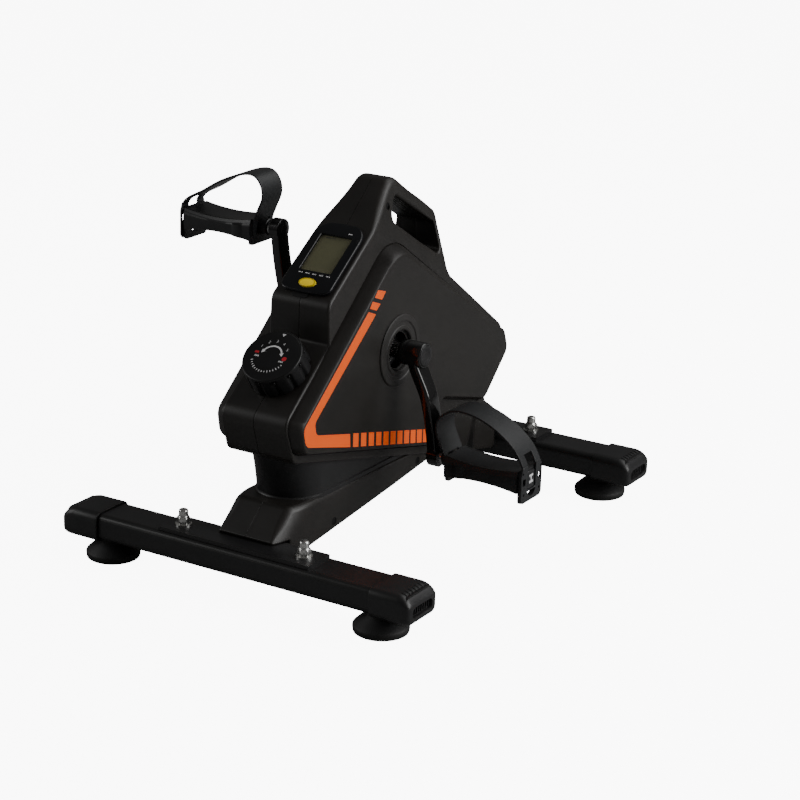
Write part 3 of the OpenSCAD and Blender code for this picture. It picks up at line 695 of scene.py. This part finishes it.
def nuts():
    """Four dome nuts: a chamfered hexagon under a narrower dome."""
    b = Build()
    base_z, apothem = 59.6, 7.5 * math.cos(pi / 6)
    turns = full_turn(72)
    hexagon = [apothem / math.cos((a + pi / 6) % (pi / 3) - pi / 6) for a in turns]
    dome = [(13.6 + 2.4 * math.sin(a), 2.8 + 2.4 * math.cos(a))
            for a in (pi / 2 * i / 8 for i in range(9))]
    profile = [(7.3, 6.5), (7.9, 5.7), (8.6, 5.3), (11, 5.2), *dome, (16.05, 0.02)]
    for x in (-76.6, 76.6):
        for y in (-TUBE_Y, TUBE_Y):
            rows = []
            for h, limit in ((0, 7.0), (0.6, 7.6), (6.2, 7.6), (7.5, 6.4)):
                row = [(min(limit, r), a) for a, r in zip(turns, hexagon)]
                rows.append([(x + r * math.cos(a), y + r * math.sin(a), base_z + h)
                             for r, a in row])
            b.rings(rows, start=True)
            b.lathe([(base_z + h, r) for h, r in profile], about_z(x, y), 48)
    return b


piece("acorn_nuts", nuts(), look["zinc"], "root", ["dome_nuts"], angle=35)
for name in ("front_plate", "rear_plate"):
    bevel(nodes[name], 1.0, 2)


# ---------------------------------------------------------------- console
console = Matrix.Translation((0, -93.9, 327.5)) @ Matrix.Rotation(math.radians(35), 4, "X")
CASE_TOP = 4.2
BUTTON_V = -37


def console_outline():
    """Case outline: narrower upwards, with a bowed lower edge and an arched upper edge."""
    half = 31
    line = rounded([(-half, -47.5, 9), (half, -47.5, 9), (half, 46.5, 17), (-half, 46.5, 17)])
    out = []
    for u, v in dense(line, 4):
        bow = max(0, 1 - (u / half) ** 2) if abs(v) > 30 else 0
        out.append((u * (1 - 0.04 * (v + 40) / 90), v + (-1.6 if v < 0 else 2.0) * bow))
    return out


def case():
    """The console's case, with openings for the screen and the button."""
    b = Build()
    line = console_outline()
    edge_r = 1.8
    wall_top = CASE_TOP - edge_r
    rows = [at_height(0, grow(line, -0.4)), at_height(0.4, line), at_height(wall_top, line)]
    for i in range(1, 6):
        a = i / 5 * pi / 2
        inner = grow(line, -edge_r * (1 - math.cos(a)))
        rows.append(at_height(wall_top + edge_r * math.sin(a), inner))
    b.rings(rows)
    top = [p[:2] for p in rows[-1]]
    window = box(-20, 20, -21, 31, 1.2, 4)
    button_hole = ellipse(0, BUTTON_V, 11.4, 6.6)
    b.flat([top, window, button_hole], lambda u, v: (u, v, CASE_TOP))
    b.rings([at_height(CASE_TOP, window), at_height(3.7, grow(window, -0.4)),
             at_height(1.4, grow(window, -0.6))])
    b.rings([at_height(CASE_TOP, button_hole), at_height(2.6, button_hole)])
    return b


def notch():
    """A near-black pad under the case's lower edge: painted shade standing in for the shaded recess
    of the thumb notch.
    """
    b = Build()
    line = box(-13, 7, -54, -47, 3, 5)
    b.rings([at_height(-1, line), at_height(0.2, line), at_height(0.4, grow(line, -0.3))], end=True)
    return b


# The thumb notch is drawn as a near-black pad, painted shade in place of its recess.
piece("thumb_notch_shade", notch(), painted_notch_shade, "root", (), console)
piece("display_case", case(), look["console_black"], "root", ["console_case"],
      console)


def mark(build, line, z, at=(0, 0)):
    """A flat face at height z."""
    build.face(build.points([(at[0] + p[0], at[1] + p[1], z) for p in line]))


def bar(w, h):
    """A plain rectangle from the origin."""
    return [(0, 0), (w, 0), (w, h), (0, h)]


def screen():
    """The LCD with a row of small dark segments."""
    b = Build()
    mark(b, bar(39.2, 51.2), 1.5, (-19.6, -20.6))
    b.mat = 1
    for i in range(5):
        mark(b, bar(1.8, 1.3), 1.53, (-13 + i * 2.5, 27.2))
    return b


piece("display_screen", screen(), [look["lcd"], lcd_dark], "root", ["lcd_screen"], console)


def console_marks():
    """Plain dashes in place of the printed labels: five groups and one above the screen."""
    b = Build()
    z = CASE_TOP + 0.06
    for i in range(5):
        for j, w in enumerate((1.35, 0.85, 1.25)):
            mark(b, bar(w, 1.35), z, (-17.6 + 8.6 * i + 1.75 * j, -25.6))
    for j in range(3):
        mark(b, bar(1.2, 1.3), z, (12.2 + 1.6 * j, 34.6))
    return b


piece("console_marks", console_marks(), white, "root", (), console)


def push_button():
    """A dished oval button with a paler rim."""
    b = Build()
    rows = [at_height(z, ellipse(0, BUTTON_V, 10.6 * share, 6.0 * share)) for share, z in (
        (1.0, 1.0), (1.0, 4.4), (0.97, 4.9), (0.9, 5.2), (0.82, 5.1), (0.78, 4.95), (0.6, 5.15),
        (0.3, 5.3), (0.02, 5.35))]
    b.mat = 1
    b.rings(rows[:6])
    b.mat = 0
    b.rings(rows[5:], end=True)
    return b


piece("push_button", push_button(), [look["button_yellow"], button_rim], "button", ["mode_button"],
      console)


# ---------------------------------------------------------------- tension knob
dial = Matrix.Translation((0, -175.4, 225.4)) @ Matrix.Rotation(math.radians(37), 4, "X")
GRIPS = 12
FACE_Z = 25.45


def flutes(h, r, a):
    """Finger flutes round the knob, running out towards its face."""
    if h > 23 or r < 20:
        return 0
    t = (a * GRIPS / (2 * pi) + 0.5) % 1 - 0.5
    depth = 2.6 * min(1, max(0, (23 - h) / 3))
    return -depth * math.exp(-(t / 0.13) ** 2)


def knob():
    """The fluted knob with a rounded pip at the head of each flute."""
    b = Build()
    profile = [(0.6, 22), (0.6, 33.6), (1.2, 34.4), (4, 34.4), (9, 34.2), (14, 34.0), (18, 33.8),
               (20, 33.7), (21.5, 33.6), (22.6, 33.5), (23.4, 33.4), (24.4, 33.3), (25.2, 33.0),
               (25.7, 32.4), (25.8, 31.8), (25.6, 31.3), (FACE_Z, 30.8), (FACE_Z, 15),
               (FACE_Z, 0.02)]
    b.lathe(profile, about_z(0, 0), 288, flutes)
    for a in full_turn(GRIPS):
        c, s = math.cos(a), math.sin(a)
        rows = []
        for t in (k / 6 * pi for k in range(7)):
            r, h = 1.15 * math.sin(t) + 0.02, 19.6 - 1.9 * math.cos(t)
            around = [(r * math.cos(q), 32.9 + r * math.sin(q)) for q in full_turn(12)]
            rows.append([(c * out - s * along, s * out + c * along, h) for along, out in around])
        b.rings(rows)
    return b


piece("knob_body", knob(), look["knob_black"], "resistance_knob", ["tension_knob"],
      dial, angle=40)


def polar(at, r, degrees):
    """The point at a distance and an angle from another."""
    a = math.radians(degrees)
    return at[0] + r * math.cos(a), at[1] + r * math.sin(a)


def digit_faces(b, digit, at, z):
    """One digit as flat faces, centred at a point."""
    text = bpy.data.curves.new("digit", "FONT")
    text.body = digit
    text.size = 4.2
    text.align_x = "CENTER"
    text.align_y = "CENTER"
    holder = bpy.data.objects.new("digit", text)
    flat = holder.to_mesh()
    ids = b.points([(at[0] + v.co.x, at[1] + v.co.y, z) for v in flat.vertices])
    for p in flat.polygons:
        b.face([ids[i] for i in p.vertices])
    holder.to_mesh_clear()
    bpy.data.objects.remove(holder)
    bpy.data.curves.remove(text)


def dial_marks():
    """A generic scale: an arc with two arrow heads, numbers, a pointer, ticks and end marks."""
    b = Build()
    z = FACE_Z + 0.07
    centre, r = (-1.5, 0.5), 10.8
    turns = [24 + 132 * i / 24 for i in range(25)]
    mark(b, [polar(centre, r - 0.85, a) for a in turns]
         + [polar(centre, r + 0.85, a) for a in turns[::-1]], z)
    for a, turn in ((156, 1), (24, -1)):
        tip = polar(polar(centre, r, a), 3.9 * turn, a + 90)
        mark(b, [polar(centre, r - 2.3, a), polar(centre, r + 2.3, a), tip], z)
    mark(b, [(-2.0, 26.6), (2.0, 26.6), (0, 23.4)], z)
    for i in range(15):
        a = math.radians(205 + 130 * i / 14)
        c, s = math.cos(a), math.sin(a)
        w, h = 0.45, 0.9 if i % 3 else 1.2
        at = (-1.5 + 18.3 * c, -0.5 + 18.3 * s)
        corners = ((-h, w), (-h, -w), (h, -w), (h, w))
        mark(b, [(at[0] + c * out - s * along, at[1] + s * out + c * along)
                 for out, along in corners], z)
    for u, v in ((-18.0, -3.6), (10.0, -5.2)):
        for j in range(3):
            mark(b, bar(1.2, 1.7), z, (u + 1.7 * j, v))
    for digit, a in zip("12345", (150, 122, 94, 64, 34)):
        digit_faces(b, digit, polar(centre, 16.6, a), z)
    b.mat = 1
    mark(b, bar(4.6, 2.4), z, (-19.8, 0.2))
    mark(b, circle(14.3, -0.6, 2.5, 24), z)
    return b


piece("dial_marks", dial_marks(), [white, red], "resistance_knob", (),
      dial @ Matrix.Diagonal((1.1, 1.1, 1, 1)), weld=0.001)


# ---------------------------------------------------------------- cranks
CRANK_ARM = 112.0
CRANK_TILT = math.radians(3)


def crank():
    """Right crank in its own frame: axle along X at the origin, arm down -Z."""
    b = Build()
    b.lathe([(59, 7.5), (59, 13.2), (59.6, 13.9), (60.4, 14), (85.2, 14), (86.4, 13.7), (87, 13),
             (87, 12.1), (86.4, 12.0), (84, 12.0)], about_x(), 72)
    end_x, end_z = 101, -116
    path = curve([(75.5, 2), (77, -12), (83, -26), (90, -42), (94, -58), (97.5, -80),
                  (end_x, end_z)], 7)
    rows = []
    half_t = 6.0
    for i, p in enumerate(path):
        along = (path[min(i + 1, len(path) - 1)] - path[max(i - 1, 0)]).normalized()
        across = Vector((-along.y, along.x))
        half_w = 11.5 - 1.5 * i / (len(path) - 1)
        rows.append([(p.x + across.x * u, w, p.y + across.y * u)
                     for u, w in box(-half_t, half_t, -half_w, half_w, 3, 4)])
    last = rows[-1]
    rows += [[(end_x + (p[0] - end_x) * share, p[1] * share, end_z - dz) for p in last]
             for share, dz in ((0.95, 1.2), (0.8, 2.0), (0.02, 2.2))]
    b.rings(rows)
    b.lathe([(94.4, 6.2), (94.4, 11.2), (95, 12), (106.2, 12), (107, 11.2), (107, 6.2)],
            about_x(0, -CRANK_ARM), 64)
    return b


def hub_cap():
    """The shallow cap in the crank's hub."""
    b = Build()
    b.lathe([(84.2, 11.9), (87.0, 11.9), (87.6, 11.5), (87.9, 10.8), (87.9, 7), (87.6, 6.4),
             (87.6, 0.02)], about_x(), 64)
    return b


axle = Matrix.Translation((0, CRANK_Y, CRANK_Z))
spin = axle @ Matrix.Rotation(CRANK_TILT, 4, "X")
spin_left = axle @ Matrix.Rotation(pi + CRANK_TILT, 4, "X")
for name, place, side in (("right", spin, 1), ("left", spin_left, -1)):
    piece("crank_arm_" + name, crank(), look["crank_gloss"], "crankset", ["crank_" + name],
          place, side=side, angle=40)
    piece("hub_cap_" + name, hub_cap(), look["cap_black"], "crankset", ["crank_caps"],
          place, side=side)


# ---------------------------------------------------------------- pedals and straps
PEDAL_X, PEDAL_L = 124.0, 89.0
PEDAL_END = PEDAL_X + PEDAL_L


def finger_hole():
    """The half-round hole low in the pedal's end and the strap's."""
    turns = [pi + pi * i / 16 for i in range(17)]
    return dense([(8.5 * math.cos(a), -13 + 7.2 * math.sin(a)) for a in turns], 3)


def tread_section(x):
    """The (y, z) outline of the pedal's tread at x: lower in the middle of its length, with
    raised edges, and with a short bump near its inner end."""
    t = (x - PEDAL_X) / PEDAL_L
    sag = 4.2 * 4 * t * (1 - t)
    zt, zb = 11 - sag, -13.5 + sag
    bump = 1.4 * max(0, 1 - ((x - PEDAL_X - 17) / 6.0) ** 2) ** 0.5

    def front(z):
        return -22.3 - (1 - ((z + 1) / 13) ** 2) - (bump if z < zt - 5 else 0), z

    return [front(zb), (front(-8)[0], max(zb + 1, -8)), front(-2), front(2), front(zt - 5.2),
            (-22.0, zt - 3.6), (-21.4, zt - 2.9), (-21.2, zt - 1.2), (-20.4, zt - 0.2),
            (-19.4, zt), (-18.4, zt - 0.5), (-15, zt - 0.9), (0, zt - 1.4), (15, zt - 0.9),
            (18.4, zt - 0.5), (19.4, zt), (20.4, zt - 0.2), (21.2, zt - 1.2), (22.6, zt - 4),
            (23, 0), (22.4, zb), (20.4, zb), (20.4, zt - 5), (-20.2, zt - 5), (-20.2, zb)]


def pedal():
    """Right pedal in its own frame: axle along X at the origin."""
    b = Build()
    steps = 60
    lengths = [PEDAL_X + PEDAL_L * i / steps for i in range(steps + 1)]
    b.rings([at_x(x, tread_section(x)) for x in lengths], start=True, end=True)
    b.lathe([(112, 4.6), (112, 8.6), (112.8, 9.5), (PEDAL_X + 2, 9.5)], about_x(), 48)
    b.lathe([(PEDAL_X, 5), (PEDAL_END, 5)], about_x(0, -1), 48)
    for y in (-10, 10):
        b.rings([[(x, y - 1.2, z), (x, y + 1.2, z), (x, y + 1.2, -11), (x, y - 1.2, -11)]
                 for x, z in ((PEDAL_X + 4, 8), (PEDAL_X + 40, 3), (PEDAL_END - 3, 8))],
                start=True, end=True)

    plate = dense(rounded([(-19.5, -26, 4), (19.5, -26, 4), (20.5, -6, 6), (19.5, 11, 3),
                           (-19.5, 11, 3), (-20.5, -6, 6)], 5), 4)
    x0, x1 = PEDAL_END - 0.2, PEDAL_END + 3.2
    hole = finger_hole()
    top = grow(plate, -0.7)
    b.rings([at_x(x0, plate), at_x(x1 - 0.7, plate), at_x(x1 - 0.2, grow(plate, -0.25)),
             at_x(x1, top)])
    b.flat([plate, hole], plane(x0))
    b.flat([top, hole], plane(x1))
    b.rings([at_x(x0, hole), at_x(x1, hole)])
    tab = box(-7, 7, -11.2, 8.4, 1.5, 4)
    b.rings([at_x(x1 - 0.2, tab), at_x(x1 + 1.4, tab), at_x(x1 + 1.8, grow(tab, -0.4))], end=True)
    inner = dense(box(-19.5, 19.5, -19, 7, 3, 5), 5)
    b.rings([at_x(PEDAL_X - 0.6, grow(inner, -0.5)), at_x(PEDAL_X, inner),
             at_x(PEDAL_X + 3.6, inner)], start=True, end=True)
    b.mat = 1
    for y0, y1, z0, z1 in ((-4, 4, 1.5, 4), (-4, 4, -5.5, -3), (-1.2, 1.2, -3, 1.5)):
        b.face(b.points(at_x(x1 + 1.85, [(y0, z0), (y1, z0), (y1, z1), (y0, z1)])))
    return b


STRAP_T, STRAP_HALF = 2.4, 19
SLOT_HALF = 8.5
strap_x = PEDAL_END + 4.6
right_line = [(strap_x, -25), (strap_x, 0), (strap_x - 1, 16), (205, 34), (182, 51), (155, 61),
              (130, 61), (113, 49), (110.5, 34), (117, 18), (122.4, 6), (122.4, -8)]
left_line = [(strap_x, -25), (strap_x, 0), (strap_x - 0.5, 14), (209.5, 22.5), (191, 32.5),
             (166, 47.5), (139, 58.5), (122, 59.5), (112.5, 50), (110.5, 36), (117, 20), (122.4, 6),
             (122.4, -8)]


def strap(line, slot_top):
    """The band above the outer end, as a sheet: the line is its (x, z) path, with the top of
    the tab's slot at one end and a notch for the axle at the other."""
    b = Build()
    path = [p for p in curve(line, 9) if p.x < 210 or p.y > 13]
    columns = 24
    across = [STRAP_HALF * (2 * i / columns - 1) for i in range(columns + 1)]
    grid = []
    for p in path:
        narrow = 0.94 if p is path[0] or p is path[-1] else 1
        grid.append(b.points([(p.x, y * narrow, p.y) for y in across]))
    for i in range(len(path) - 1):
        x, z = (path[i] + path[i + 1]) / 2
        for j in range(columns):
            y = abs(across[j] + across[j + 1]) / 2
            in_slot = z < slot_top and x > 190 and y < SLOT_HALF
            in_notch = path[i].y < 10 and path[i].x < 130 and y < 10.4
            if not (in_slot or in_notch):
                b.face((grid[i][j], grid[i + 1][j], grid[i + 1][j + 1], grid[i][j + 1]))
    return b


def strap_end():
    """The flat outer end, which hooks over the pedal's tab."""
    b = Build()
    outline = rounded([(-22.5, -25, 6), (22.5, -25, 6), (22.5, 7, 7), (19, 16, 3),
                       (SLOT_HALF, 16, 0.3), (SLOT_HALF, -12, 2), (-SLOT_HALF, -12, 2),
                       (-SLOT_HALF, 16, 0.3), (-19, 16, 3), (-22.5, 7, 7)], 6)
    holes = [finger_hole()]
    for side in (-1, 1):
        holes.append(rounded([(side * 13.6, -5, 0.8), (side * 20, -5, 0.8), (side * 20, 2.6, 0.8),
                              (side * 13.6, 2.6, 0.8)], 3))
        holes += [circle(side * 16.5, -15, 1.5, 16), circle(side * 19.3, 9, 1.5, 16)]
    x0, x1 = strap_x - STRAP_T / 2, strap_x + STRAP_T / 2
    inner = grow(outline, -0.4)
    b.rings([at_x(x0, outline), at_x(x1 - 0.4, outline), at_x(x1, inner)])
    b.flat([outline] + holes, plane(x0))
    b.flat([inner] + holes, plane(x1))
    for hole in holes:
        b.rings([at_x(x0, hole), at_x(x1, hole)])
    return b


def thicken(obj):
    """Gives the strap's sheet its thickness and softened edges."""
    thick = obj.modifiers.new("thick", "SOLIDIFY")
    thick.thickness = STRAP_T * MM
    thick.offset = 0
    bevel(obj, 0.7, 3, 50)


for name, side, line, slot_top in (("right", 1, right_line, 26), ("left", -1, left_line, 23)):
    y = CRANK_Y + side * CRANK_ARM * math.sin(CRANK_TILT)
    z = CRANK_Z - side * CRANK_ARM * math.cos(CRANK_TILT)
    place = Matrix.Translation((0, y, z))
    body = name + "_pedal"
    piece("pedal_body_" + name, pedal(), [look["pedal_plastic"], white], body, ["pedal_" + name],
          place, side=side, angle=36)
    thicken(piece("foot_strap_" + name, strap(line, slot_top), look["strap_rubber"], body,
                  ["strap_" + name], place, side=side, angle=50))
    piece("strap_end_" + name, strap_end(), look["strap_rubber"], body, (), place,
          side=side)


# ---------------------------------------------------------------- studio
def add(obj):
    bpy.context.scene.collection.objects.link(obj)
    return obj


def by_camera_ray(n, link, other, camera):
    """A mix that shows one shader to the camera and the other to every other ray."""
    ray, blend = n.new("ShaderNodeLightPath"), n.new("ShaderNodeMixShader")
    link.new(ray.outputs["Is Camera Ray"], blend.inputs["Fac"])
    link.new(other.outputs[0], blend.inputs[1])
    link.new(camera.outputs[0], blend.inputs[2])
    return blend.outputs[0]


def paper():
    """Pale paper that looks evenly white and throws little light back up."""
    m = bpy.data.materials.new("paper")
    m.use_nodes = True
    n, link = m.node_tree.nodes, m.node_tree.links
    n.remove(n["Principled BSDF"])
    pale, grey = n.new("ShaderNodeBsdfDiffuse"), n.new("ShaderNodeBsdfDiffuse")
    pale.inputs["Color"].default_value = (0.93, 0.93, 0.93, 1)
    grey.inputs["Color"].default_value = (0.34, 0.34, 0.34, 1)
    glow, both = n.new("ShaderNodeEmission"), n.new("ShaderNodeAddShader")
    glow.inputs["Color"].default_value = (1, 1, 1, 1)
    glow.inputs["Strength"].default_value = 9.0
    link.new(pale.outputs[0], both.inputs[0])
    link.new(glow.outputs[0], both.inputs[1])
    link.new(by_camera_ray(n, link, grey, both), n["Material Output"].inputs["Surface"])
    return m


floor = bpy.data.meshes.new("floor")
floor.from_pydata([(-30, -30, 0), (30, -30, 0), (30, 30, 0), (-30, 30, 0)], [], [(0, 1, 2, 3)])
floor.materials.append(paper())
floor_obj = add(bpy.data.objects.new("floor", floor))

world = bpy.context.scene.world or bpy.data.worlds.new("studio")
bpy.context.scene.world = world
world.use_nodes = True
n, link = world.node_tree.nodes, world.node_tree.links
n.clear()
seen, felt = n.new("ShaderNodeBackground"), n.new("ShaderNodeBackground")
seen.inputs["Color"].default_value = (1, 1, 1, 1)
seen.inputs["Strength"].default_value = 1.0
felt.inputs["Color"].default_value = (1, 0.985, 0.97, 1)
felt.inputs["Strength"].default_value = 0.1
out = n.new("ShaderNodeOutputWorld")
link.new(by_camera_ray(n, link, felt, seen), out.inputs["Surface"])


def lamp(name, at, aim, power, w, h):
    data = bpy.data.lights.new(name, "AREA")
    data.shape = "RECTANGLE"
    data.size, data.size_y = w, h
    data.energy = power
    obj = add(bpy.data.objects.new(name, data))
    obj.location = at
    obj.rotation_mode = "QUATERNION"
    obj.rotation_quaternion = (Vector(aim) - Vector(at)).to_track_quat("-Z", "Y")


lamp("overhead", (1.1, 1.3, 2.4), (0, 0, 0.1), 26, 2.2, 2.2)
lamp("left_key", (-2.1, -1.3, 1.1), (0, 0, 0.2), 15, 1.2, 1.2)
lamp("right_fill", (2.4, 0.6, 1.3), (0, 0, 0.2), 52, 1.6, 1.8)

# The camera, at the photo's angle and with its long lens.
az, el, roll = math.radians(32.276), math.radians(18.682), math.radians(1.258)
back = Vector((math.sin(az) * math.cos(el), -math.cos(az) * math.cos(el), math.sin(el)))
right = Vector((math.cos(az), math.sin(az), 0))
up = back.cross(right)
lens_right = math.cos(roll) * right + math.sin(roll) * up
lens_up = math.cos(roll) * up - math.sin(roll) * right
cam = bpy.data.cameras.new("camera")
cam.sensor_width = 36
cam.lens = 106.67
cam.shift_x = 0.0522
cam.shift_y = 0.0043
cam.clip_start, cam.clip_end = 0.1, 100
cam_obj = add(bpy.data.objects.new("camera", cam))
aim, distance = Vector((0.05056, -0.10211, 0.18)), 2.50704
at = aim + back * distance
cam_obj.matrix_world = Matrix((
    (lens_right.x, lens_up.x, back.x, at.x), (lens_right.y, lens_up.y, back.y, at.y),
    (lens_right.z, lens_up.z, back.z, at.z), (0, 0, 0, 1)))
bpy.context.scene.camera = cam_obj
